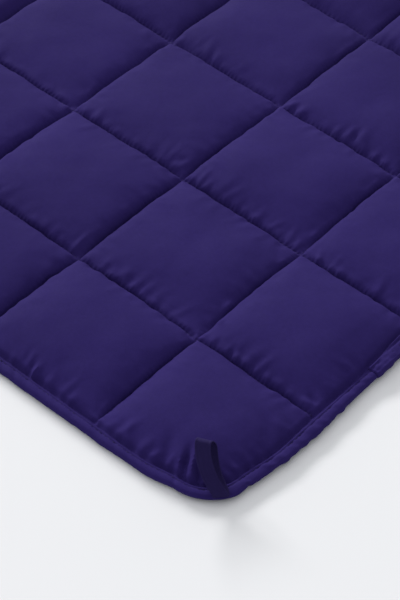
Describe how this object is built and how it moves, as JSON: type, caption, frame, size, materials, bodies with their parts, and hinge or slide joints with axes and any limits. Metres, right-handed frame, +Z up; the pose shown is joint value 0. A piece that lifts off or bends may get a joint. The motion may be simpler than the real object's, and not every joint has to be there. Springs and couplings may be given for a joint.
{
  "type": "weighted blanket",
  "caption": "Rectangular weighted blanket lying flat: a filled body quilted into square pockets, a folded binding round its rounded edge and a standing tape loop at each corner",
  "frame": {"origin": "on the surface that the blanket lies on, in the middle of its outline", "axes": "+X across the blanket's short side, +Y along its long side, +Z up; the corner nearest in the picture is at -X, -Y"},
  "size_m": [1.2154, 1.8214, 0.0302],
  "materials": {
    "quilted_cloth": "smooth, tightly woven indigo microfibre, matt with a faint soft sheen",
    "binding_cloth": "the same indigo microfibre, folded into a narrow rolled binding",
    "loop_tape": "indigo woven tape, matt"
  },
  "bodies": {
    "root": {"quilted_body": "quilted_cloth", "edge_binding": "binding_cloth", "corner_loop_front_left": "loop_tape", "corner_loop_front_right": "loop_tape", "corner_loop_back_left": "loop_tape", "corner_loop_back_right": "loop_tape"}
  },
  "joints": []
}
